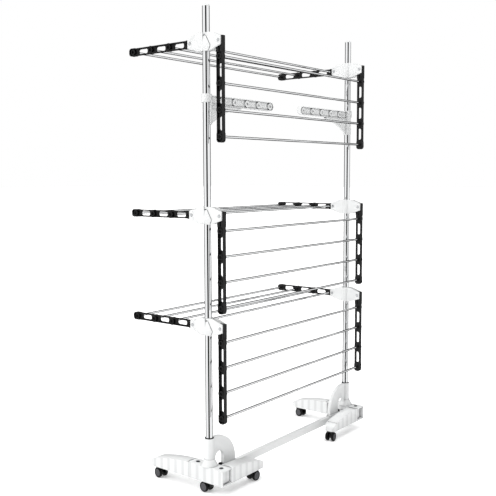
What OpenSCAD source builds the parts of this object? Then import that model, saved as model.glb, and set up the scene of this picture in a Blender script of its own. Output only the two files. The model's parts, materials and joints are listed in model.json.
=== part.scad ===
// Three-tier clothes drying rack on casters. Two steel posts stand in moulded feet
// joined by a crossbar. Each tier has two wings of steel rods that fold down beside
// the posts, two arms with hanger holes swing round the posts, and each foot has two
// legs that fold in beside the crossbar.
// Left and right are -X and +X, front and rear are -Y and +Y. The floor is z = 0.
// The front wings hang, the rear wings are raised, the front legs and both arms are
// folded in: that is the rest position of every joint.

/* [Posts] */
// Distance between the centre lines of the two posts
post_gap = 952; // [860:2:1100]
// Outer diameter of a post tube
post_d = 26; // [24:0.5:26]
// Wall of a post tube
post_wall = 1.2; // [0.8:0.1:2]
// Height of the top end of the post tubes
post_top = 1732; // [1700:1:1800]
// Height of a cap's dome above the tube
cap_h = 8; // [4:1:12]

/* [Tiers] */
// Height of the low tier's pivots
low_z = 613; // [605:1:625]
// Height of the middle tier's pivots
mid_z = 1010; // [1000:1:1025]
// Height of the top tier's pivots
top_z = 1610; // [1600:1:1640]

/* [Wings] */
// Rods in a wing
rod_count = 4; // [3:1:4]
// Distance between rods
rod_pitch = 91; // [86:1:91]
// Outer diameter of a rod
rod_d = 9; // [6:0.5:9]
// Distance from the pivot to the first rod while the wing hangs
rod_first = 53; // [52:1:55]
// How far a wing slides towards the post as it is raised
wing_slide = 35; // [33:1:35]
// Height of a side bar across its widest place
bar_w = 29; // [27:1:29]
// Thickness of a side bar
bar_t = 15; // [13:1:15]

/* [Hubs] */
// Distance of a wing's pivot from the post's centre line
pivot_y = 65; // [65:1:68]
// Height of a hub at the post
hub_h = 62; // [58:1:64]
// Height of a hub at its two ends
hub_end_h = 30; // [28:1:32]
// Distance of a hub's ends from the post's centre line
hub_reach = 75; // [74:1:76]

/* [Hanger arms] */
// Height of the centre of an arm's beam
arm_z = 1413.5; // [1390:0.5:1420]
// Distance from the post's centre line to an arm's tip
arm_reach = 382; // [380:1:390]
// Holes for hanger hooks in an arm
arm_holes = 5; // [3:1:5]

/* [Feet and legs] */
// Height of the top of a foot
foot_top = 101; // [98:1:104]
// Height of the underside of a foot
foot_bottom = 43; // [43:1:46]
// Length of a foot along Y
foot_len = 165; // [160:1:165]
// Width of a foot along X
foot_w = 50; // [48:1:50]
// Distance of a leg's pin from the post's centre line
leg_pin_y = 56; // [56:1:58]
// Distance from a leg's pin to its tip
leg_len = 228; // [220:1:235]
// Distance from a leg's pin to its caster's swivel
leg_caster = 202; // [198:1:204]

/* [Casters] */
// Diameter of a wheel
wheel_d = 39; // [36:0.5:39]
// Thickness of one of a caster's two wheels
wheel_t = 11; // [8:1:11]
// Distance from a caster's swivel to its axle
caster_trail = 15; // [12:1:16]

/* [Hidden] */
$fn = 48;
BIG = 400;
EPS = 0.02;

TIERS = ["low", "mid", "top"];
SIDES = ["left", "right"];
FACES = ["front", "rear"];
SPOTS = ["front", "mid", "rear"];

WHITE = "whitesmoke";
BLACK = "#242427";
STEEL = "silver";

// The sign of a side or a face along its axis
function sign_of(word) = word == "left" || word == "front" ? -1 : 1;
function tier_z(tier) = tier == "low" ? low_z : tier == "mid" ? mid_z : top_z;
// A leg is folded in when it is a front one, and points out when it is a rear one
function leg_turn(face) = face == "front" ? 0 : 90;

// Clearances
RUN = 0.05;
SEAT = 0.05;
SIDE_GAP = 0.7;

// Posts
POST_R = post_d / 2;
POST_BOTTOM = 110;

// Bars: s runs along a bar from the pivot of a hanging wing
BAR_ROOT = 16;
BAR_WAIST = bar_w - 3;
BAR_RIM = 3;
BAR_RECESS = 8;
BAR_TIP_PAST = 20;
BAR_TIP_R = 11;
BOSS_R = 10;
BOSS_CUP_R = 6.6;
BOSS_CUP = 4;
INNER_BOSS_R = 6.4;
INNER_BOSS_H = 6;
ROD_SEAT = 1;
ROD_WALL = 0.6;
ROD_PEEP_R = 2.2;
WINDOW_L = 48;
WINDOW_W = 18;
WINDOW_R = 7.5;
LAST_ROD = rod_first + (rod_count - 1) * rod_pitch;
BAR_TIP = LAST_ROD + BAR_TIP_PAST;

// Half way between the front of the feet and the tips of the raised wings
MIDDLE_Y = (pivot_y - wing_slide + BAR_TIP - foot_len / 2) / 2;

// Hubs
PIN_R = 3;
CHEEK_IN = bar_t / 2 + SIDE_GAP;
CHEEK_OUT = CHEEK_IN + 5.3;
HUB_R = 19;
HUB_SHOULDER = 30;
HUB_SPLIT = 0.15;
COVER_OUT = 20;
COVER_STEP = 1.8;
COVER_GROOVE = 1.2;
COVER_END = 57;
NOSE_Y = 30;
WEB_Y = 17;
WEB_Z = 21;
PIN_HEAD_R = 5;
PIN_HEAD_T = 1.6;
PIN_HEAD_X = CHEEK_OUT + 0.5 - PIN_HEAD_T;
SCREW_R = 1.5;
SCREW_X = 15.8;
SCREW_Z = 22;
SCREW_Y = 6.5;

// Arms
ARM_H = 33;
ARM_T = 18;
ARM_HOLE_R = 5.5;
ARM_BOSS_R = 12.5;
ARM_RIM = 2.6;
ARM_PLATE_T = 6;
ARM_PITCH = 71;
ARM_TOP = arm_z + ARM_H / 2;
RING_TOP = ARM_TOP + 3.5;
ARM_SHELL_H = 105;
ARM_RING_H = 29;
ARM_SHELL_R = 18.5;
ARM_HOLE_LAST = arm_reach - 20;
ARM_WEB_T = 6;
ARM_WEB_L = 180;
ARM_RIB_H = 11;
ARM_RIB_T = 12;

// Brackets
SOCKET_TOP = 202;
SOCKET_R = 17.5;
SOCKET_BASE = 125;
DOME_R = 31;
GUSSET_X = 30;
GUSSET_Z = 92;
GUSSET_R = 110;
GUSSET_T = 14;
GUSSET_HOLE_X = 48;
GUSSET_HOLE_Z = 118;
GUSSET_HOLE_R = 25;

// Crossbar
CROSS_H = 30;
CROSS_T = 18;
CROSS_Z = 50;
CROSS_WALL = 1.5;
CROSS_SEAT = 14;

// Feet
FOOT_PLATE = 4;
FOOT_WALL = 3;
CORE_Y = 30;
LEG_ROOT_R = 16;
LEG_PIN_R = 4;
LEG_NECK = 27;
LEG_SHELL = 3;
LEG_BOSS_R = 11;
LEG_TIP_R = 18;
LEG_END_R = 30;
LEG_GAP = 0.5;
LEG_CLEAR = 37;

// Casters
WHEEL_R = wheel_d / 2;
CASTER_TOP = foot_bottom - 0.3;
STEM_R = 4;
STEM_H = 16;
AXLE_R = 2.5;
WHEEL_IN = 8;
HOOD_T = 14.6;
HOOD_BOSS_R = 8;

// ---- shared shapes -------------------------------------------------------------

// Draws its children at the left or the right post; the inner side faces the other
module at_side(side)
{
    translate([sign_of(side) * post_gap / 2, 0, 0])
        mirror([side == "right" ? 1 : 0, 0, 0])
            children();
}

// Turns an outline in the Y-Z plane into a plate from x0 to x1
module plate_x(x0, x1)
{
    translate([x0, 0, 0])
        rotate([90, 0, 90])
            linear_extrude(x1 - x0)
                children();
}

// A rectangle with round corners, centred on the origin
module round_rect(l, w, r)
{
    square([l - 2 * r, w], center = true);
    square([l, w - 2 * r], center = true);
    for (x = [-1, 1], y = [-1, 1])
        translate([x * (l / 2 - r), y * (w / 2 - r)])
            circle(r);
}

// ---- posts ---------------------------------------------------------------------

module post(side)
{
    color(STEEL)
        at_side(side)
            translate([0, 0, POST_BOTTOM])
                difference() {
                    cylinder(r = POST_R, h = post_top - POST_BOTTOM);
                    translate([0, 0, -1])
                        cylinder(r = POST_R - post_wall, h = post_top);
                }
}

module post_caps()
{
    plug_r = POST_R - post_wall - SEAT;
    color(WHITE)
        for (side = SIDES)
            at_side(side)
                translate([0, 0, post_top]) {
                    translate([0, 0, -18])
                        cylinder(r = plug_r, h = 18 + EPS);
                    translate([0, 0, EPS])
                        intersection() {
                            cylinder(r = POST_R + 0.8, h = cap_h);
                            translate([0, 0, cap_h - 30])
                                sphere(r = 30);
                        }
                }
}

// ---- hubs ----------------------------------------------------------------------

// Outline of a hub's front half in Y-Z, narrowing to its end
module hub_outline()
{
    top = hub_h / 2;
    tip = hub_end_h / 2;
    polygon([[0, -top], [-HUB_SHOULDER, -top], [-hub_reach, -tip],
             [-hub_reach, tip], [-HUB_SHOULDER, top], [0, top]]);
}

// Outline of the rear half's cover in Y-Z: its nose laps over the front half
module cover_outline()
{
    top = hub_h / 2;
    polygon([[COVER_END, -top * 0.55], [HUB_SHOULDER, -top], [-NOSE_Y + 8, -top],
             [-NOSE_Y, -top * 0.45], [-4, top], [HUB_SHOULDER, top], [COVER_END, top * 0.55]]);
}

// The raised cover over the post, on the hub's side away from the rack's middle: a
// level top that ends on a slanting crease, and a slope down to the nose
module hub_cover()
{
    top = hub_h / 2;
    hull() {
        plate_x(-COVER_OUT, -COVER_OUT + 0.5)
            polygon([[COVER_END - 14, -top * 0.4], [HUB_SHOULDER - 8, -top + 5], [9, -top + 5],
                     [5, -6], [HUB_SHOULDER - 5, top - 2], [COVER_END - 12, top * 0.5]]);
        plate_x(-CHEEK_OUT - COVER_STEP, -CHEEK_OUT)
            cover_outline();
    }
}

// The half at -Y without its cover; the half at +Y is its mirror image
module hub_half()
{
    top = hub_h / 2;
    difference() {
        union() {
            for (x = [-CHEEK_OUT, CHEEK_IN])
                plate_x(x, x + CHEEK_OUT - CHEEK_IN)
                    hub_outline();
            intersection() {
                translate([0, 0, -top])
                    cylinder(r = HUB_R, h = hub_h);
                for (x = [-1, 1])
                    translate([x * (CHEEK_IN + 10), -15, 0])
                        cube([20, 30, hub_h], center = true);
            }
            for (z = [WEB_Z, -top])
                translate([-CHEEK_IN - 1, -WEB_Y, z])
                    cube([2 * CHEEK_IN + 2, WEB_Y, top - WEB_Z]);
        }
        translate([-BIG / 2, -HUB_SPLIT, -BIG / 2])
            cube([BIG, BIG, BIG]);
        translate([0, 0, -BIG / 2])
            cylinder(r = POST_R + SEAT, h = BIG);
        translate([0, -pivot_y, 0])
            rotate([0, 90, 0])
                cylinder(r = PIN_R + RUN, h = BIG, center = true);
        for (x = [-1, 1])
            translate([x * (PIN_HEAD_X - 0.3 + 2), -pivot_y, 0])
                rotate([0, 90, 0])
                    cylinder(r = PIN_HEAD_R + 0.8, h = 4, center = true);
        hub_screw_places()
            cylinder(r = SCREW_R + SEAT, h = 2 * SCREW_Y + 0.4, center = true);
    }
}

module hub_screw_places()
{
    for (x = [-1, 1], z = [-1, 1])
        translate([x * SCREW_X, 0, z * SCREW_Z])
            rotate([90, 0, 0])
                children();
}

module hub_front()
{
    difference() {
        hub_half();
        plate_x(-BIG, -CHEEK_OUT + COVER_GROOVE)
            offset(delta = COVER_GROOVE)
                cover_outline();
    }
}

module hub_rear()
{
    mirror([0, 1, 0])
        hub_half();
    difference() {
        hub_cover();
        cylinder(r = POST_R + SEAT, h = BIG, center = true);
        hub_screw_places()
            cylinder(r = SCREW_R + SEAT, h = 2 * SCREW_Y + 0.4, center = true);
    }
}

module hub(tier, side, face)
{
    color(WHITE)
        at_side(side)
            translate([0, 0, tier_z(tier)])
                if (face == "front")
                    hub_front();
                else
                    hub_rear();
}

module hub_screws()
{
    color(STEEL)
        for (tier = TIERS, side = SIDES)
            translate([sign_of(side) * post_gap / 2, 0, tier_z(tier)])
                hub_screw_places()
                    cylinder(r = SCREW_R, h = 2 * SCREW_Y, center = true);
}

// ---- wings ---------------------------------------------------------------------

// Carries the bar's frame (s along +Y, pivot of the hanging wing at the origin) to
// where the wing is at rest
module at_wing(tier, face)
{
    translate([0, sign_of(face) * pivot_y, tier_z(tier)])
        if (face == "front")
            rotate([-90, 0, 0])
                children();
        else
            translate([0, -wing_slide, 0])
                children();
}

module pivots(tier, face)
{
    color(STEEL)
        for (side = SIDES)
            translate([sign_of(side) * post_gap / 2, sign_of(face) * pivot_y, tier_z(tier)])
                rotate([0, 90, 0]) {
                    cylinder(r = PIN_R, h = 2 * PIN_HEAD_X + EPS, center = true);
                    for (z = [-1, 1])
                        translate([0, 0, z * (PIN_HEAD_X + PIN_HEAD_T / 2)])
                            cylinder(r = PIN_HEAD_R, h = PIN_HEAD_T, center = true);
                }
}

module bar_outline(inset)
{
    w = bar_w - 2 * inset;
    waist = BAR_WAIST - 2 * inset;
    tip_r = BAR_TIP_R - inset;
    neck = rod_first - bar_w / 2;
    translate([-BAR_ROOT + inset, -w / 2])
        square([BAR_ROOT - inset + neck, w]);
    translate([-BAR_ROOT + inset, -waist / 2])
        square([BAR_ROOT + BAR_TIP - 2 * inset - tip_r, waist]);
    translate([LAST_ROD, 0])
        round_rect(2 * (BAR_TIP_PAST - inset), w, tip_r);
    for (i = [0 : rod_count - 1])
        translate([rod_first + i * rod_pitch, 0])
            circle(w / 2);
}

// One side bar; its inner face, with the rod bosses, is towards +X
module bar()
{
    difference() {
        union() {
            plate_x(-bar_t / 2, bar_t / 2)
                bar_outline(0);
            for (i = [0 : rod_count - 1])
                translate([bar_t / 2 - 1, rod_first + i * rod_pitch, 0])
                    rotate([0, 90, 0])
                        cylinder(r = INNER_BOSS_R, h = INNER_BOSS_H + 1);
        }
        plate_x(-bar_t / 2 - 1, -bar_t / 2 + BAR_RECESS)
            difference() {
                bar_outline(BAR_RIM);
                translate([-BAR_ROOT, -bar_w / 2])
                    square([BAR_ROOT + rod_first - BOSS_R - 4, bar_w]);
                for (i = [0 : rod_count - 1])
                    translate([rod_first + i * rod_pitch, 0])
                        circle(BOSS_R);
            }
        plate_x(-bar_t, bar_t) {
            for (i = [0 : rod_count - 2])
                translate([rod_first + (i + 0.5) * rod_pitch, 0])
                    round_rect(WINDOW_L, WINDOW_W, WINDOW_R);
            pin_slot();
        }
        for (i = [0 : rod_count - 1])
            translate([0, rod_first + i * rod_pitch, 0])
                rotate([0, 90, 0]) {
                    translate([0, 0, -ROD_SEAT])
                        cylinder(r = rod_d / 2 + SEAT, h = BIG);
                    translate([0, 0, -bar_t])
                        cylinder(r = ROD_PEEP_R, h = BIG);
                    translate([0, 0, -bar_t])
                        cylinder(r = BOSS_CUP_R, h = bar_t / 2 + BOSS_CUP);
                }
    }
}

// The long hole that the pivot pin runs in
module pin_slot()
{
    r = PIN_R + RUN;
    translate([0, -r])
        square([wing_slide, 2 * r]);
    for (s = [-0.3, wing_slide + 0.3])
        translate([s, 0])
            circle(r);
}

module bars(tier, face)
{
    color(BLACK)
        for (side = SIDES)
            at_side(side)
                at_wing(tier, face)
                    bar();
}

module rods(tier, face)
{
    length = post_gap + 2 * ROD_SEAT - 0.4;
    color(STEEL)
        at_wing(tier, face)
            for (i = [0 : rod_count - 1])
                translate([0, rod_first + i * rod_pitch, 0])
                    rotate([0, 90, 0])
                        difference() {
                            cylinder(r = rod_d / 2, h = length, center = true);
                            cylinder(r = rod_d / 2 - ROD_WALL, h = length + 2, center = true);
                        }
}

// ---- hanger arms ---------------------------------------------------------------

// Side outline of an arm's beam, with its round end
module beam_outline(inset)
{
    r = ARM_H / 2 - inset;
    start_x = inset > 0 ? ARM_SHELL_R + 1 : ARM_SHELL_R / 2;
    end_x = arm_reach - ARM_H / 2;
    translate([start_x, arm_z - r])
        square([end_x - start_x, 2 * r]);
    translate([end_x, arm_z])
        circle(r);
}

// Turns an outline in the X-Z plane into a plate from y0 to y1
module plate_y(y0, y1)
{
    translate([0, y1, 0])
        rotate([90, 0, 0])
            linear_extrude(y1 - y0)
                children();
}

// The left arm, which points at +X when folded in. Its beam is hollowed from both
// faces, down to a plate that joins the rim and the bosses of the hook holes.
module arm()
{
    shell_z = RING_TOP - ARM_SHELL_H;
    difference() {
        union() {
            translate([0, 0, shell_z])
                cylinder(r = ARM_SHELL_R, h = ARM_SHELL_H);
            plate_y(-ARM_T / 2, ARM_T / 2)
                beam_outline(0);
            arm_rib();
            arm_gusset(shell_z);
        }
        translate([0, 0, shell_z - 1])
            cylinder(r = POST_R + 0.08, h = ARM_SHELL_H + 2);
        translate([-BIG, -BIG / 2, shell_z - 1])
            cube([BIG, BIG, ARM_SHELL_H - ARM_RING_H + 1]);
        for (y = [-BIG, ARM_PLATE_T / 2])
            plate_y(y, y + BIG - ARM_PLATE_T / 2)
                difference() {
                    beam_outline(ARM_RIM);
                    arm_hole_places()
                        circle(ARM_BOSS_R);
                }
        plate_y(-BIG, BIG)
            arm_hole_places()
                circle(ARM_HOLE_R);
    }
}

module arm_hole_places()
{
    for (i = [0 : arm_holes - 1])
        translate([ARM_HOLE_LAST - i * ARM_PITCH, arm_z])
            children();
}

// A rib along the beam's underside with a round end
module arm_rib()
{
    mid_z = arm_z - ARM_H / 2 - ARM_RIB_H / 2;
    plate_y(-ARM_RIB_T / 2, ARM_RIB_T / 2) {
        translate([ARM_SHELL_R / 2, mid_z - ARM_RIB_H / 2])
            square([ARM_WEB_L - ARM_SHELL_R / 2, ARM_RIB_H + 1]);
        translate([ARM_WEB_L, mid_z])
            circle(ARM_RIB_H / 2);
    }
}

// A thin web below the rib; its free edge is a hollow curve from the shell's lower
// end to the rib
module arm_gusset(shell_z)
{
    steps = 12;
    high = arm_z - ARM_H / 2 - ARM_RIB_H + 1;
    rise = high - shell_z;
    run = ARM_WEB_L - 5 - ARM_SHELL_R;
    edge = [for (i = [0 : steps]) let (t = i / steps)
            [ARM_SHELL_R + run * t, shell_z + rise * (1 - pow(1 - t, 1.8))]];
    plate_y(-ARM_WEB_T / 2, ARM_WEB_T / 2)
        polygon(concat([[ARM_SHELL_R / 2, high], [ARM_SHELL_R / 2, shell_z]], edge));
}

module hanger_arm(side)
{
    color(WHITE)
        at_side(side)
            arm();
}

// ---- brackets ------------------------------------------------------------------

// Socket, dome and gusset in one moulding; the gusset leans towards +X
module bracket_body()
{
    difference() {
        union() {
            translate([0, 0, SOCKET_BASE - 1])
                cylinder(r = SOCKET_R, h = SOCKET_TOP - SOCKET_BASE + 1);
            translate([0, 0, foot_top])
                cylinder(r1 = DOME_R, r2 = SOCKET_R + 2, h = SOCKET_BASE - foot_top);
            bracket_gusset();
        }
        translate([0, 0, POST_BOTTOM - 0.5])
            cylinder(r = POST_R + SEAT, h = BIG);
    }
}

module bracket_gusset()
{
    foot_z = CROSS_Z + CROSS_H;
    reach = GUSSET_X + GUSSET_R;
    translate([0, -GUSSET_T / 2, 0])
        rotate([90, 0, 0])
            mirror([0, 0, 1])
                linear_extrude(GUSSET_T)
                    difference() {
                        intersection() {
                            translate([POST_R, foot_top])
                                square([reach, SOCKET_TOP - foot_top]);
                            translate([GUSSET_X, GUSSET_Z])
                                circle(GUSSET_R, $fn = 96);
                        }
                        gusset_arch();
                    }
    translate([GUSSET_HOLE_X + GUSSET_HOLE_R, -GUSSET_T / 2, foot_z])
        cube([reach - GUSSET_HOLE_X - GUSSET_HOLE_R - 0.5, GUSSET_T, foot_top - foot_z + 1]);
    translate([GUSSET_HOLE_X + GUSSET_HOLE_R - 4, -CROSS_T / 2 - 2, foot_z])
        cube([reach - GUSSET_HOLE_X - GUSSET_HOLE_R + 8, CROSS_T + 4, 4]);
}

module gusset_arch()
{
    translate([GUSSET_HOLE_X, GUSSET_HOLE_Z])
        circle(GUSSET_HOLE_R);
    translate([GUSSET_HOLE_X, foot_top - 20])
        square([GUSSET_HOLE_R, GUSSET_HOLE_Z - foot_top + 20]);
    translate([DOME_R - 6, foot_top - 20])
        square([GUSSET_HOLE_X - DOME_R + 7, 30]);
}

module bracket(side)
{
    color(WHITE)
        at_side(side)
            bracket_body();
}

// ---- feet, crossbar and legs ---------------------------------------------------

// Top and bottom plates and an outer wall round a solid core; the legs turn between
// the plates and swing out towards +X
module foot_body()
{
    difference() {
        translate([-foot_w / 2, -foot_len / 2, foot_bottom])
            cube([foot_w, foot_len, foot_top - foot_bottom - EPS]);
        for (y = [-1, 1])
            translate([-foot_w / 2 + FOOT_WALL, y > 0 ? CORE_Y : -CORE_Y - BIG,
                       foot_bottom + FOOT_PLATE])
                cube([BIG, BIG, foot_top - foot_bottom - 2 * FOOT_PLATE]);
        for (y = [-1, 1])
            translate([0, y * leg_pin_y, 0])
                cylinder(r = LEG_PIN_R + SEAT, h = BIG);
        translate([foot_w / 2 - CROSS_SEAT, -CROSS_T / 2 - 0.1, CROSS_Z - 0.1])
            cube([BIG, CROSS_T + 0.2, CROSS_H + 0.2]);
        translate([0, 0, foot_bottom - 1])
            cylinder(r = STEM_R + RUN, h = STEM_H + 2);
    }
}

module foot(side)
{
    color(WHITE)
        at_side(side)
            foot_body();
}

module crossbar()
{
    half = post_gap / 2 - foot_w / 2 + CROSS_SEAT - 0.2;
    color(WHITE)
        translate([0, 0, CROSS_Z + CROSS_H / 2])
            rotate([0, 90, 0])
                linear_extrude(2 * half, center = true)
                    difference() {
                        round_rect(CROSS_H, CROSS_T, 4);
                        round_rect(CROSS_H - 2 * CROSS_WALL, CROSS_T - 2 * CROSS_WALL, 2.5);
                    }
}

module leg_pins()
{
    color(STEEL)
        for (side = SIDES, y = [-1, 1])
            translate([sign_of(side) * post_gap / 2, y * leg_pin_y, 0]) {
                translate([0, 0, foot_bottom + 0.5])
                    cylinder(r = LEG_PIN_R, h = foot_top - foot_bottom);
                translate([0, 0, foot_top])
                    cylinder(r = 7, h = 1.6);
            }
}

// Height of a leg's back above the floor at a distance from its pin
function leg_back(s) = foot_top - 1 - 30 * pow(max(0, s - 20) / (leg_len - 20), 1.9);

// Side outline of a leg outside the foot; inset draws the hollow inside it
module leg_side(inset)
{
    steps = 12;
    s0 = LEG_NECK;
    s1 = leg_len;
    low = foot_bottom - inset;
    back = [for (i = [0 : steps]) let (s = s0 + (s1 - s0) * i / steps) [s, leg_back(s) - inset]];
    intersection() {
        polygon(concat([[s0, low]], back, [[s1, low]]));
        union() {
            translate([s0, low])
                square([leg_len - LEG_END_R - s0, foot_top]);
            translate([leg_len - LEG_END_R, foot_bottom + 2])
                circle(r = LEG_END_R - inset, $fn = 96);
            translate([leg_len - LEG_END_R, low])
                square([LEG_END_R - inset, 2 + inset]);
        }
    }
}

// A leg with its pin at the origin, running along +X. Its root turns between the
// foot's plates, and its full height starts outside the sweep of the foot's corners.
module leg_body()
{
    root_z = foot_bottom + FOOT_PLATE + LEG_GAP;
    root_h = foot_top - foot_bottom - 2 * (FOOT_PLATE + LEG_GAP);
    difference() {
        union() {
            difference() {
                leg_slab(0);
                leg_slab(LEG_SHELL);
                for (z = [0, root_z + root_h])
                    translate([0, 0, z])
                        cylinder(r = LEG_CLEAR, h = root_z);
            }
            translate([0, 0, root_z])
                cylinder(r = LEG_ROOT_R, h = root_h);
            translate([0, -LEG_ROOT_R, root_z])
                cube([LEG_NECK + 1, 2 * LEG_ROOT_R, root_h]);
            intersection() {
                leg_slab(0);
                translate([leg_caster, 0, 0])
                    cylinder(r = LEG_BOSS_R, h = BIG);
            }
        }
        translate([0, 0, -1])
            cylinder(r = LEG_PIN_R + RUN, h = BIG);
        translate([leg_caster, 0, foot_bottom - 1])
            cylinder(r = STEM_R + RUN, h = STEM_H + 2);
    }
}

// The leg's outer solid, or the hollow inside it, with a rounded tip seen from above
module leg_slab(inset)
{
    w = foot_w - 2 * inset;
    start = inset > 0 ? LEG_CLEAR + inset : LEG_NECK;
    tip = leg_len - inset;
    intersection() {
        translate([0, w / 2, 0])
            rotate([90, 0, 0])
                linear_extrude(w)
                    leg_side(inset);
        linear_extrude(BIG) {
            translate([start, -w / 2])
                square([tip - start - LEG_TIP_R, w]);
            translate([tip - 30, 0])
                round_rect(60, w, LEG_TIP_R - inset);
        }
    }
}

module leg(side, face)
{
    color(WHITE)
        at_side(side)
            translate([0, sign_of(face) * leg_pin_y, 0])
                rotate(leg_turn(face))
                    leg_body();
}

// ---- casters -------------------------------------------------------------------

// Where a caster's swivel stands, seen from the left post, and the way that its
// wheels trail at rest
function swivel_x(spot) = spot == "front" ? leg_caster : 0;
function swivel_y(spot) =
    spot == "front" ? -leg_pin_y : spot == "rear" ? leg_pin_y + leg_caster : 0;
function trail_angle(side, spot) =
    side == "left" ? (spot == "front" ? 180 : spot == "rear" ? -100 : 85)
                   : (spot == "front" ? -10 : spot == "rear" ? -80 : 60);

// Carries a caster's frame (swivel axis at the origin, wheels trailing along +X)
module at_caster(side, spot)
{
    at_side(side)
        translate([swivel_x(spot), swivel_y(spot), 0])
            rotate(trail_angle(side, spot))
                children();
}

module caster(side, spot)
{
    color(BLACK)
        at_caster(side, spot)
            union() {
                translate([0, 0, CASTER_TOP - 2])
                    cylinder(r = STEM_R, h = STEM_H + 2);
                translate([0, 0, CASTER_TOP - 3])
                    cylinder(r = 10, h = 3);
                translate([-9, -HOOD_T / 2, WHEEL_R])
                    cube([9 + caster_trail, HOOD_T, CASTER_TOP - 1 - WHEEL_R]);
                translate([caster_trail, 0, WHEEL_R])
                    rotate([90, 0, 0]) {
                        cylinder(r = HOOD_BOSS_R, h = HOOD_T, center = true);
                        cylinder(r = AXLE_R, h = 2 * (WHEEL_IN + wheel_t) - 1, center = true);
                    }
            }
}

module wheels(side, spot)
{
    color(BLACK)
        at_caster(side, spot)
            for (y = [-1, 1])
                translate([caster_trail, y * (WHEEL_IN + wheel_t / 2), WHEEL_R])
                    rotate([90, 0, 0])
                        difference() {
                            cylinder(r = WHEEL_R, h = wheel_t, center = true);
                            cylinder(r = AXLE_R + RUN, h = wheel_t + 2, center = true);
                        }
}

// ---- the rack ------------------------------------------------------------------

// The origin is on the floor, below the middle of the whole rack
module place()
{
    translate([0, -MIDDLE_Y, 0])
        children();
}

for (side = SIDES)
    place() post(side);
place() post_caps();
place() hub_screws();
place() leg_pins();
place() crossbar();
for (tier = TIERS, side = SIDES, face = FACES)
    place() hub(tier, side, face);
for (tier = TIERS, face = FACES) {
    place() pivots(tier, face);
    place() bars(tier, face);
    place() rods(tier, face);
}
for (side = SIDES) {
    place() hanger_arm(side);
    place() bracket(side);
    place() foot(side);
}
for (side = SIDES, face = FACES)
    place() leg(side, face);
for (side = SIDES, spot = SPOTS) {
    place() caster(side, spot);
    place() wheels(side, spot);
}
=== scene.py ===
# %% [markdown]
# # A clothes drying rack on casters
# Two chrome posts carry three tiers of folding wings, and two arms for hangers swing
# round the posts. The engineering model already holds every piece at its true size and
# place. This lesson gives each one the look of the real thing: moulded plastic with
# soft edges, plated tube, and a pale studio to see them in.

# %% The tools
import json
import math

import bmesh
import bpy
import numpy as np
from mathutils import Matrix, Vector


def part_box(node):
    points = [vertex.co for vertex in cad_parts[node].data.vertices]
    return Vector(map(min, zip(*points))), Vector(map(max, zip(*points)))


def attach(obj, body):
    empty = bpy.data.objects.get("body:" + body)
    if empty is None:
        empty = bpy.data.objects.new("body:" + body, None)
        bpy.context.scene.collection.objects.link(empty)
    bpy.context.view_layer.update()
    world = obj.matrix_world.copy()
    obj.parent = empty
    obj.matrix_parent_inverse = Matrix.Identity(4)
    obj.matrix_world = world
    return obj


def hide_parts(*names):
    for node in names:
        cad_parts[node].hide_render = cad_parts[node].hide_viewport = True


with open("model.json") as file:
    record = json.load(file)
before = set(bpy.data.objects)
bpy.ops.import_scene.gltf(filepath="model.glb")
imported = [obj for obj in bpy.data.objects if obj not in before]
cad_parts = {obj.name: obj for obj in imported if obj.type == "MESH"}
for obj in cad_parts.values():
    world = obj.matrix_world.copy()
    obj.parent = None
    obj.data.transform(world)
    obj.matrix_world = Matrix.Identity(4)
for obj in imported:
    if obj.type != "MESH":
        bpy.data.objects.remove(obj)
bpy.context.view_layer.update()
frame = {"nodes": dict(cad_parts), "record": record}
MM = 0.001
print("pieces in the frame:", len(frame["nodes"]))

# %% [markdown]
# ## Where things are
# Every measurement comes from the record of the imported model: joints say where the
# pivots are, and a node's box says how big it is. Only what it doesn't hold is typed.

# %% Reading places from the frame
JOINTS = {joint["name"]: joint for joint in frame["record"]["behaviour"]["joints"]}
BODY_OF = {
    node: body
    for body, nodes in frame["record"]["behaviour"]["bodies"].items()
    for node in nodes
}
SLOT_OF = {part["node"]: part["material_slot"] for part in frame["record"]["subparts"]}


def middle(node):
    """The centre of a node's box: half of its lowest corner plus its highest."""
    low, high = (np.array(painted_shade_colour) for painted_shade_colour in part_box(node))
    return (low + high) / 2


POST_X = {side: middle(f"{side}_post")[0] for side in ("left", "right")}
POST_Y = middle("left_post")[1]
print("posts stand at x =", {side: round(x, 4) for side, x in POST_X.items()},
      "y =", round(POST_Y, 4))

# %% [markdown]
# ## The camera
# A product picture of something this tall is taken from a few metres away and a little
# above its middle, with a longish lens so that the posts stay nearly parallel. A camera
# looks along its own -Z, so the three columns of its turn are right, up and backwards.

# %% Camera
HEADING = math.radians(38.08)
TILT = math.radians(5.37)
ROLL = math.radians(-0.196)
SENSOR_MM, LENS_MM = 36, 56.13
CAMERA_X, CAMERA_FROM_POSTS, CAMERA_Z = -2.538, -1.797, 1.151


def camera_turn(heading, tilt, roll):
    """Right, up and back as the columns of a rotation, from a compass heading (measured
    from +X towards +Y), a downward tilt and a roll about the line of sight."""
    ahead = np.array(
        [math.cos(heading) * math.cos(tilt), math.sin(heading) * math.cos(tilt), -math.sin(tilt)]
    )
    level = np.array([math.sin(heading), -math.cos(heading), 0.0])
    upright = np.cross(level, ahead)
    right = math.cos(roll) * level + math.sin(roll) * upright
    up = -math.sin(roll) * level + math.cos(roll) * upright
    return Matrix(np.stack([right, up, -ahead], axis=1).tolist())


lens = bpy.data.cameras.new("camera")
lens.sensor_width = SENSOR_MM
lens.lens = LENS_MM
camera = bpy.data.objects.new("camera", lens)
camera.matrix_world = camera_turn(HEADING, TILT, ROLL).to_4x4()
camera.location = (CAMERA_X, POST_Y + CAMERA_FROM_POSTS, CAMERA_Z)
bpy.context.scene.collection.objects.link(camera)
bpy.context.scene.camera = camera
print("camera at", [round(v, 3) for v in camera.location])

# %% [markdown]
# ## Colours and nodes
# Colours are written the way a paint chart gives them, as sRGB hex, and one function
# turns them to the linear light that the renderer adds up. One more function adds a
# node, sets what is constant and links what varies.

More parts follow.
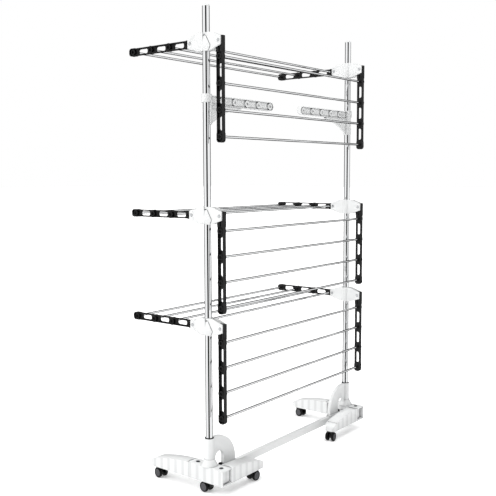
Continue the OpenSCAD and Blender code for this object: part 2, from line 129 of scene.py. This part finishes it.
# %% Two small helpers
def linear(code, alpha=1.0):
    """sRGB to linear: small values are divided by 12.92, others follow the 2.4 power."""
    srgb = np.array([int(code[i : i + 2], 16) for i in (1, 3, 5)]) / 255
    low, high = srgb / 12.92, ((srgb + 0.055) / 1.055) ** 2.4
    return (*np.where(srgb <= 0.04045, low, high).tolist(), alpha)


def put(tree, kind, values=None, links=None, **settings):
    """Adds a node of a kind, sets its properties and its sockets, and links its inputs."""
    node = tree.nodes.new(kind)
    for name, value in settings.items():
        setattr(node, name, value)
    for socket, value in (values or {}).items():
        node.inputs[socket].default_value = value
    for socket, source in (links or {}).items():
        tree.links.new(source, node.inputs[socket])
    return node


def new_material(name):
    """An empty material with its output node, ready for a shader."""
    material = bpy.data.materials.new(name)
    material.use_nodes = True
    material.node_tree.nodes.clear()
    return material, material.node_tree


# Mix nodes keep one pair of sockets for each data type; 6 and 7 are the colour pair
def colour_mix(tree, first, second, factor):
    """Blends two colours: first times one minus the factor, plus second times it."""
    node = put(tree, "ShaderNodeMix", data_type="RGBA")
    for position, value in ((6, first), (7, second)):
        if isinstance(value, tuple):
            node.inputs[position].default_value = value
        else:
            tree.links.new(value, node.inputs[position])
    tree.links.new(factor, node.inputs[0])
    return node.outputs[2]


# %% [markdown]
# ## Moulded plastic
# The white pieces are injection-moulded ABS and the black bars are polypropylene. A
# steel mould leaves a fine even grain, the plastic's gloss varies a little where it
# cooled, and its colour drifts by a shade over a hand's width. Grain of 0.4 mm is too
# fine for the picture, so it is drawn at 1.5 mm. Corners and recesses get painted
# shade: an ambient occlusion node asks how much of the space near a point is free,
# within a few millimetres, and darkens the colour where little of it is.

# %% Moulded plastics
def moulded(name, colour, shade, painted_shade_colour, gloss, grain_mm=1.5, bump=0.05, specular=0.5,
            painted_shade_reach_mm=7.0, bands=None):
    """A dielectric whose colour drifts between two shades on a slow noise and darkens in
    corners as painted shade, with a roughness that follows a second noise, and a fine grain
    as bump. Bands are an axis, a pitch and a strength: painted shade of shallow upright
    flutes on the upright faces, where a cosine of the place along the axis darkens the
    colour. The flutes are not in the mesh."""
    material, tree = new_material(name)
    place = put(tree, "ShaderNodeTexCoord")
    drift = put(tree, "ShaderNodeTexNoise", {"Scale": 1 / 0.12, "Detail": 2.0},
                {"Vector": place.outputs["Object"]})
    hue = colour_mix(tree, linear(colour), linear(shade), drift.outputs["Fac"])
    grain = put(tree, "ShaderNodeTexNoise", {"Scale": 1 / (grain_mm * MM), "Detail": 2.0},
                {"Vector": place.outputs["Object"]})
    relief = put(tree, "ShaderNodeBump", {"Strength": bump, "Distance": 0.1 * MM},
                 {"Height": grain.outputs["Fac"]})
    if bands:
        axis, pitch_mm, darkening = bands
        apart = put(tree, "ShaderNodeSeparateXYZ", links={"Vector": place.outputs["Object"]})
        turn = put(tree, "ShaderNodeMath", {1: 2 * math.pi / (pitch_mm * MM)},
                   {0: apart.outputs[axis]}, operation="MULTIPLY")
        wave = put(tree, "ShaderNodeMath", links={0: turn.outputs[0]}, operation="COSINE")
        # painted shade of the flutes: cosine bands darken the colour on upright faces, as the flutes
        # are not in the mesh
        flute_shade_band = put(tree, "ShaderNodeMapRange",
                     {"From Min": -0.1, "From Max": 0.9, "To Max": darkening},
                     {"Value": wave.outputs[0]}, interpolation_type="SMOOTHSTEP")
        facing = put(tree, "ShaderNodeNewGeometry")
        upward = put(tree, "ShaderNodeSeparateXYZ", links={"Vector": facing.outputs["Normal"]})
        lying = put(tree, "ShaderNodeMath", links={0: upward.outputs["Z"]}, operation="ABSOLUTE")
        upright = put(tree, "ShaderNodeMapRange",
                      {"From Min": 0.3, "From Max": 0.7, "To Min": 1.0, "To Max": 0.0},
                      {"Value": lying.outputs[0]})
        painted_flute_shade = put(tree, "ShaderNodeMath", operation="MULTIPLY",
                   links={0: flute_shade_band.outputs["Result"], 1: upright.outputs["Result"]})
        hue = colour_mix(tree, hue, linear(painted_shade_colour), painted_flute_shade.outputs[0])
    # painted shade: ambient occlusion darkens the colour towards the shade colour in corners and
    # recesses
    free = put(tree, "ShaderNodeAmbientOcclusion", {"Distance": painted_shade_reach_mm * MM}, samples=8)
    open_part = put(tree, "ShaderNodeMapRange", {"From Min": 0.35, "From Max": 0.92},
                    {"Value": free.outputs["AO"]})
    hue = colour_mix(tree, linear(painted_shade_colour), hue, open_part.outputs["Result"])
    cooled = put(tree, "ShaderNodeTexNoise", {"Scale": 1 / 0.03, "Detail": 3.0},
                 {"Vector": place.outputs["Object"]})
    rough = put(tree, "ShaderNodeMapRange",
                {"To Min": gloss - 0.06, "To Max": gloss + 0.08},
                {"Value": cooled.outputs["Fac"]})
    shader = put(tree, "ShaderNodeBsdfPrincipled", {"IOR": 1.5, "Specular IOR Level": specular},
                 {"Base Color": hue, "Roughness": rough.outputs["Result"],
                  "Normal": relief.outputs["Normal"]})
    put(tree, "ShaderNodeOutputMaterial", links={"Surface": shader.outputs["BSDF"]})
    return material


# %% [markdown]
# ## Plastics by name
# White ABS for what is clamped and screwed, black polypropylene for the bars and forks,
# and a harder black for the treads. The sides of the feet and legs are fluted: shallow
# upright grooves 36 mm apart stiffen them. The grooves are not in the mesh; their shade is
# painted into the colour as bands, along Y on the feet and the legs that point to the rear,
# and along X on the legs that are folded in.

# %% The plastics
# the third colour of each plastic is its painted shade colour, for corners and flute bands
WHITE = ("#E3E4E4", "#DCDDDD", "#606264")
BLACK = ("#070708", "#0D0D0E", "#010101")
WHITE_ABS = moulded("white_moulded_abs", *WHITE, 0.34)
FLUTE_SHADED_Y = moulded("white_abs_painted_flute_shade_along_y", *WHITE, 0.34, bands=("Y", 36, 0.16))
FLUTE_SHADED_X = moulded("white_abs_painted_flute_shade_along_x", *WHITE, 0.34, bands=("X", 36, 0.16))
BLACK_PP = moulded("black_moulded_polypropylene", *BLACK, 0.36, bump=0.12, specular=0.3)
TREAD_PU = moulded("black_hard_tread", "#060607", "#0B0B0C", "#010101", 0.45, bump=0.1,
                   specular=0.2)
GREY_PP = moulded("dark_grey_wheel_face", "#48484B", "#545457", "#141415", 0.5, bump=0.1,
                  specular=0.3, painted_shade_reach_mm=2.5)
print("plastics:", WHITE_ABS.name, BLACK_PP.name, TREAD_PU.name, GREY_PP.name)

# %% [markdown]
# ## Metal
# The posts and rods are steel tube with bright chromium plate: a mirror with a trace of
# haze from polishing. The pins and screws are zinc plated and duller, and the crossbar
# is steel under a smooth white powder coat. A metal keeps the default IOR.

# %% Metals
def plated(name, colour, rough_low, rough_high, streak_mm):
    """A metal whose roughness runs between two values on a noise of a given size."""
    material, tree = new_material(name)
    place = put(tree, "ShaderNodeTexCoord")
    haze = put(tree, "ShaderNodeTexNoise", {"Scale": 1 / (streak_mm * MM), "Detail": 3.0},
               {"Vector": place.outputs["Object"]})
    rough = put(tree, "ShaderNodeMapRange", {"To Min": rough_low, "To Max": rough_high},
                {"Value": haze.outputs["Fac"]})
    tone = put(tree, "ShaderNodeMapRange", {"To Min": 0.9, "To Max": 1.0},
               {"Value": haze.outputs["Fac"]})
    hue = colour_mix(tree, linear("#8C8E91"), linear(colour), tone.outputs["Result"])
    shader = put(tree, "ShaderNodeBsdfPrincipled", {"Metallic": 1.0},
                 {"Base Color": hue, "Roughness": rough.outputs["Result"]})
    put(tree, "ShaderNodeOutputMaterial", links={"Surface": shader.outputs["BSDF"]})
    return material


CHROME = plated("chromium_plated_tube", "#F4F5F6", 0.02, 0.05, 25)
ROD_CHROME = plated("chromium_plated_rod", "#F2F3F4", 0.03, 0.07, 12)
ZINC = plated("dark_zinc_plated_steel", "#5A5B5E", 0.35, 0.55, 3)
BRIGHT_ZINC = plated("bright_zinc_plated_steel", "#D6D8DA", 0.3, 0.45, 3)
WHITE_COAT = moulded("white_powder_coat", *WHITE, 0.38, grain_mm=2.5, bump=0.08)

FINISH_OF = {
    "post_steel": CHROME,
    "rod_steel": ROD_CHROME,
    "screw_steel": ZINC,
    "pin_steel": BRIGHT_ZINC,
    "white_plastic": WHITE_ABS,
    "white_paint": WHITE_COAT,
    "black_plastic": BLACK_PP,
    "wheel_plastic": TREAD_PU,
}


def finish_of(node):
    """The material of a node: its slot's, or one with painted flute shade on the feet and legs."""
    if "front_leg" in node:
        return FLUTE_SHADED_X
    return FLUTE_SHADED_Y if "rear_leg" in node or "foot" in node else FINISH_OF[SLOT_OF[node]]


for node, shape in frame["nodes"].items():
    for holder in shape.material_slots:
        holder.material = finish_of(node)
print("finishes:", len(FINISH_OF))

# %% [markdown]
# ## Soft edges
# Nothing that comes out of a mould has a knife edge: its corners are rounded so that the
# plastic flows and lets go, and that thin rounded line is what catches the light. The
# engineering model is all sharp, so a copy of each moulded piece is cleaned of its
# triangles and gets a bevel.

# %% Soft-edged copies
def join_rides(piece, node, finish=None):
    """Makes a piece stand for a node, ride on its body and take its finish."""
    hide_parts(node)
    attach(piece, BODY_OF[node])
    if finish is not None:
        piece.data.materials.clear()
        piece.data.materials.append(finish)


def softened(node, width_mm=1.0, steps=2):
    """A copy of a node with doubled points merged, flat neighbours joined into one
    face, and every edge that turns more than 30 degrees rounded to a width."""
    form = bmesh.new()
    form.from_mesh(frame["nodes"][node].data)
    bmesh.ops.remove_doubles(form, verts=form.verts, dist=0.00001)
    bmesh.ops.dissolve_limit(form, angle_limit=math.radians(0.6), verts=form.verts,
                             edges=form.edges)
    mesh = bpy.data.meshes.new(f"{node}_soft")
    form.to_mesh(mesh)
    form.free()
    mesh.shade_smooth()
    piece = bpy.data.objects.new(f"{node}_soft", mesh)
    bpy.context.scene.collection.objects.link(piece)
    rounding = piece.modifiers.new("rounding", "BEVEL")
    rounding.width = width_mm * MM
    rounding.segments = steps
    rounding.limit_method = "ANGLE"
    rounding.angle_limit = math.radians(30)
    rounding.harden_normals = True
    rounding.use_clamp_overlap = True
    join_rides(piece, node, finish_of(node))
    return piece


ROUND_MM = {"hub": 1.6, "bars": 1.1, "arm": 1.4, "bracket": 1.2, "foot": 1.6, "leg": 2.5,
            "crossbar": 0.6, "caster": 1.0}
softs = {}
for node in sorted(frame["nodes"]):
    if node in ("leg_pins", "hub_screws", "post_caps"):
        continue
    for word, width in ROUND_MM.items():
        if word in node:
            softs[node] = softened(node, width)
            break
print("soft-edged copies:", len(softs))

# %% [markdown]
# ## Turned shapes
# Wheels, caps and rings are all round about an axis, so each is a profile (how far from
# the axis, how far along it) swept once round. One function does it as whole arrays:
# every point is the centre, plus the radius times a direction that goes round, plus the
# height times the axis. Profiles are written anticlockwise with the axis upwards, which
# makes the faces point outwards.

# %% Sweeping a profile round an axis
def surface(name, points, loop_rows):
    """A closed mesh from an array of rows of points. Every four neighbours make a face,
    the columns close on themselves, and the rows do as well if the profile is a loop.
    Points that fall together, as at a pole, are merged."""
    rows, columns = points.shape[:2]
    down = np.arange(rows if loop_rows else rows - 1)[:, None]
    across = np.arange(columns)[None, :]
    next_down, next_across = (down + 1) % rows, (across + 1) % columns
    faces = np.stack([down * columns + across, down * columns + next_across,
                      next_down * columns + next_across, next_down * columns + across], axis=2)
    mesh = bpy.data.meshes.new(name)
    mesh.from_pydata(points.reshape(-1, 3).tolist(), [], faces.reshape(-1, 4).tolist())
    form = bmesh.new()
    form.from_mesh(mesh)
    bmesh.ops.remove_doubles(form, verts=form.verts, dist=0.000002)
    bmesh.ops.recalc_face_normals(form, faces=form.faces)
    form.to_mesh(mesh)
    form.free()
    mesh.shade_smooth()
    mesh.set_sharp_from_angle(angle=math.radians(50))
    piece = bpy.data.objects.new(name, mesh)
    bpy.context.scene.collection.objects.link(piece)
    return piece


def turned_points(centre, axis, profile_mm, sides=48):
    """Points of a swept profile: centre + radius (cos a, sin a) across the axis + height
    along the axis, for each angle a and each point of the profile."""
    axis = np.array(axis, float) / np.linalg.norm(axis)
    helper = np.array([0.0, 0.0, 1.0]) if abs(axis[2]) < 0.9 else np.array([1.0, 0.0, 0.0])
    first = np.cross(helper, axis)
    first /= np.linalg.norm(first)
    second = np.cross(axis, first)
    angle = np.linspace(0, 2 * math.pi, sides, endpoint=False)
    radius, height = (np.array(profile_mm, float) * MM).T
    spoke = np.cos(angle)[:, None] * first + np.sin(angle)[:, None] * second
    return np.array(centre) + radius[:, None, None] * spoke[None] + height[:, None, None] * axis


def arc_mm(middle_mm, radius_mm, start, end, steps=6):
    """Points of a circular arc in a profile, from one angle to another in degrees."""
    angle = np.radians(np.linspace(start, end, steps))
    return [(middle_mm[0] + radius_mm * c, middle_mm[1] + radius_mm * s)
            for c, s in zip(np.cos(angle), np.sin(angle))]


# %% [markdown]
# ## Post caps
# The tops of the posts are closed with domed plugs. The dome rises in a flat arc to its
# crown and has a small round lip where it sits on the tube.

# %% Post caps
def outer_radius_mm(node, axis=0):
    """Half of a node's box across one axis, in millimetres."""
    low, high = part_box(node)
    return (high[axis] - low[axis]) / 2 / MM


POST_R = outer_radius_mm("left_post")
POST_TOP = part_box("left_post")[1][2]
CAP_H = (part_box("post_caps")[1][2] - POST_TOP) / MM
for side, x in POST_X.items():
    lip = POST_R + 0.7
    dome = [(lip * math.cos(t), 2 + (CAP_H - 2.1) * math.sin(t))
            for t in np.linspace(0.25, math.pi / 2, 9)]
    profile = [(0, -17), (POST_R - 1.4, -17), (POST_R - 1.4, 0.05), (lip - 0.6, 0.05),
               (lip, 0.6), *dome]
    profile[-1] = (0, profile[-1][1])
    cap = surface(f"{side}_cap_dome",
                  turned_points((x, POST_Y, POST_TOP), (0, 0, 1), profile), False)
    join_rides(cap, "post_caps", WHITE_ABS)
print("caps: radius", round(POST_R, 2), "mm, height", round(CAP_H, 2), "mm")

# %% [markdown]
# ## Casters
# Each caster has two hard wheels on one axle. The tread is crowned and its shoulders
# are round, so that it turns easily on the spot. The face is a shallow dish round a low
# hub cap, moulded in a dark grey that stands out from the black tread.

# %% Twin wheels
WHEEL_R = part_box("left_rear_wheels")[1][2] / 2 / MM
WHEEL_T, WHEEL_IN, BORE_R = 11.0, 8.0, 2.55


def tread_profile(t):
    """One wheel's section, from its inner bore round the tread to the rim of its dish:
    a crown 0.4 mm high between two shoulders of 2.6 mm."""
    shoulder = 2.6
    crown = [(WHEEL_R - 0.4 * (2 * u - 1) ** 2, shoulder + (t - 2 * shoulder) * u)
             for u in np.linspace(0, 1, 7)]
    return [(BORE_R, 0), (WHEEL_R - shoulder - 0.4, 0),
            *arc_mm((WHEEL_R - shoulder - 0.4, shoulder), shoulder, -75, -8, 5), *crown,
            *arc_mm((WHEEL_R - shoulder - 0.4, t - shoulder), shoulder, 8, 90, 5),
            (WHEEL_R - 4.4, t - 0.2), (WHEEL_R - 4.8, t - 1.4), (BORE_R, t - 1.4)]


FACE_PROFILE = [(0, -1.35), (14.4, -1.35), (14.4, -0.75), (13.4, -0.5), (10, -0.95), (7.0, -1.0),
                (6.2, -0.2), (5.6, 0.05), (3, 0.15), (0, 0.15)]
for joint in sorted(name for name in JOINTS if name.endswith("_roll")):
    node = joint.replace("_roll", "_wheels")
    hub, axis = np.array(JOINTS[joint]["pos_m"]), np.array(JOINTS[joint]["axis"])
    for number, way in enumerate((-1, 1)):
        start = hub + way * axis * WHEEL_IN * MM
        tread = surface(f"{node}_tread_{number}",
                        turned_points(start, way * axis, tread_profile(WHEEL_T)), True)
        join_rides(tread, node, TREAD_PU)
        start = hub + way * axis * (WHEEL_IN + WHEEL_T - 0.2) * MM
        face = surface(f"{node}_face_{number}",
                       turned_points(start, way * axis, FACE_PROFILE, 32), False)
        join_rides(face, node, GREY_PP)
print("wheels: radius", round(WHEEL_R, 2), "mm")

# %% [markdown]
# ## Seals and shade blocks
# A black rubber ring closes the gap where a post enters its socket, and a small black
# block stands on the crossbar inside each bracket's arch: a dark piece put where the arch
# is in shade, standing for that shade.

# %% Seals and shade blocks
RING = [(POST_R + 0.05, 0.05), (POST_R + 3.2, 0.05), *arc_mm((POST_R + 2.0, 1.3), 1.2, 0, 90, 5),
        (POST_R + 0.05, 2.5)]
SHADE_BLOCK_INWARD = 61 * MM
SHADE_BLOCK_PROFILE = [(0, 0.02), (7.5, 0.02), (7.5, 9), *arc_mm((6, 9.5), 1.5, 0, 90, 5), (0, 11)]
for side, x in POST_X.items():
    inward = -math.copysign(1, x)
    ring = surface(f"{side}_socket_seal",
                   turned_points((x, POST_Y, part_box(f"{side}_bracket")[1][2]), (0, 0, 1), RING), True)
    # painted shade: the black block inside the arch is a dark piece that stands for the shade there
    foot_of_shade_block = (x + inward * SHADE_BLOCK_INWARD, POST_Y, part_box("crossbar")[1][2])
    shade_block = surface(f"{side}_arch_shade_block", turned_points(foot_of_shade_block, (0, 0, 1), SHADE_BLOCK_PROFILE), False)
    for piece in (ring, shade_block):
        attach(piece, BODY_OF[f"{side}_bracket"])
        piece.data.materials.append(TREAD_PU)
print("seals and stops: 4")

# %% [markdown]
# ## The studio
# White plastic and chrome need white walls to look like themselves, so floor and sky are
# white. A tube of chrome squeezes the whole room into its width, and with nothing dark
# in the room it would look like white plastic. Photographers stand dark flags round
# such a product, outside the picture. Here the flags are part of the sky: it is painted
# by compass direction, black behind the camera and beyond the rack on each side.
# The camera itself sees plain white.

# %% A sky with dark flags
SKY = bpy.data.worlds.new("studio_sky")
SKY.use_nodes = True
SKY.node_tree.nodes.clear()


def sky_maths(operation, *inputs):
    """One step of arithmetic on the sky's directions."""
    node = put(SKY.node_tree, "ShaderNodeMath", operation=operation)
    for position, value in enumerate(inputs):
        if isinstance(value, (int, float)):
            node.inputs[position].default_value = value
        else:
            SKY.node_tree.links.new(value, node.inputs[position])
    return node.outputs[0]


def flag(bearing, first, last, soft=4):
    """One inside a range of bearings and zero outside it, with soft ends: the smaller
    of two ramps that rise over a few degrees."""
    rise = sky_maths("MULTIPLY_ADD", bearing, 1 / soft, -first / soft)
    fall = sky_maths("MULTIPLY_ADD", bearing, -1 / soft, last / soft)
    held = sky_maths("MINIMUM", rise, fall)
    return sky_maths("MAXIMUM", sky_maths("MINIMUM", held, 1.0), 0.0)


look = put(SKY.node_tree, "ShaderNodeTexCoord")
turned = put(SKY.node_tree, "ShaderNodeMapping", {"Rotation": (0, 0, -HEADING)},
             {"Vector": look.outputs["Generated"]})
part = put(SKY.node_tree, "ShaderNodeSeparateXYZ", links={"Vector": turned.outputs["Vector"]})
bearing = sky_maths("MULTIPLY", sky_maths("ARCTAN2", part.outputs["Y"], part.outputs["X"]),
                    180 / math.pi)
around = sky_maths("ABSOLUTE", bearing)
height = sky_maths("MULTIPLY", sky_maths("ARCSINE", part.outputs["Z"]), 180 / math.pi)
low = sky_maths("SUBTRACT", 1.0, flag(sky_maths("ABSOLUTE", height), 48, 200, 12))

# name of the flag: where it is, and how much of the sky's white it takes away
FLAGS = {
    "behind the camera": (flag(around, 155, 205), 1.0),
    "right of the rack": (flag(bearing, -68, 4), 1.0),
    "left of the rack": (flag(bearing, -4, 74), 0.95),
}
white = 1.0
for shape, darkening in FLAGS.values():
    taken = sky_maths("MULTIPLY", sky_maths("MULTIPLY", shape, low), darkening)
    white = sky_maths("SUBTRACT", white, taken)
white = sky_maths("MAXIMUM", white, 0.0)

seen = put(SKY.node_tree, "ShaderNodeLightPath")
backdrop = put(SKY.node_tree, "ShaderNodeBackground",
               {"Color": linear("#FFFFFF"), "Strength": 1.0})
room = put(SKY.node_tree, "ShaderNodeBackground",
           {"Color": linear("#FFFFFF"), "Strength": 0.55})
mirrored = put(SKY.node_tree, "ShaderNodeBackground", {"Color": linear("#FFFFFF")},
               {"Strength": white})
gloss = put(SKY.node_tree, "ShaderNodeMixShader", links={0: seen.outputs["Is Glossy Ray"],
            1: room.outputs["Background"], 2: mirrored.outputs["Background"]})
either = put(SKY.node_tree, "ShaderNodeMixShader", links={0: seen.outputs["Is Camera Ray"],
             1: gloss.outputs["Shader"], 2: backdrop.outputs["Background"]})
put(SKY.node_tree, "ShaderNodeOutputWorld", links={"Surface": either.outputs["Shader"]})
bpy.context.scene.world = SKY
bpy.context.scene.view_settings.view_transform = "Standard"
print("flags in the sky:", ", ".join(FLAGS))

# %% [markdown]
# ## Floor and lamps
# The floor is a pale matt sheet that runs out of sight. A soft lamp on the left makes
# the faces on that side the brightest, and one overhead draws the shadows together
# under the casters.

# %% Floor and lamps
def plain(name, colour, rough=0.9, lit=0.25):
    """A rough even surface for the studio that is lit from below, as a shooting table
    of white acrylic is."""
    material, tree = new_material(name)
    shader = put(tree, "ShaderNodeBsdfPrincipled",
                 {"Roughness": rough, "Emission Strength": lit,
                  "Base Color": linear(colour), "Emission Color": linear(colour)})
    put(tree, "ShaderNodeOutputMaterial", links={"Surface": shader.outputs["BSDF"]})
    return material


floor_mesh = bpy.data.meshes.new("floor")
REACH = 60
floor_mesh.from_pydata([(-REACH, -REACH, 0), (REACH, -REACH, 0), (REACH, REACH, 0),
                        (-REACH, REACH, 0)], [], [(0, 1, 2, 3)])
floor_mesh.materials.append(plain("studio_floor", "#FCFCFC"))
floor = bpy.data.objects.new("floor", floor_mesh)
bpy.context.scene.collection.objects.link(floor)
floor.visible_glossy = False


def sun(name, heading, tilt, spread, strength):
    """A soft distant lamp that shines along a heading and downwards by a tilt."""
    light = bpy.data.lights.new(name, "SUN")
    light.energy = strength
    light.angle = math.radians(spread)
    holder = bpy.data.objects.new(name, light)
    beam = Vector((math.cos(heading) * math.cos(tilt), math.sin(heading) * math.cos(tilt),
                   -math.sin(tilt)))
    holder.rotation_euler = beam.to_track_quat("-Z", "Y").to_euler()
    holder.location = -6 * beam
    holder.visible_glossy = False
    bpy.context.scene.collection.objects.link(holder)


sun("key_lamp", math.radians(-38), math.radians(38), 24, 1.35)
sun("top_lamp", math.radians(60), math.radians(80), 50, 1.75)
print("floor and lamps set up")
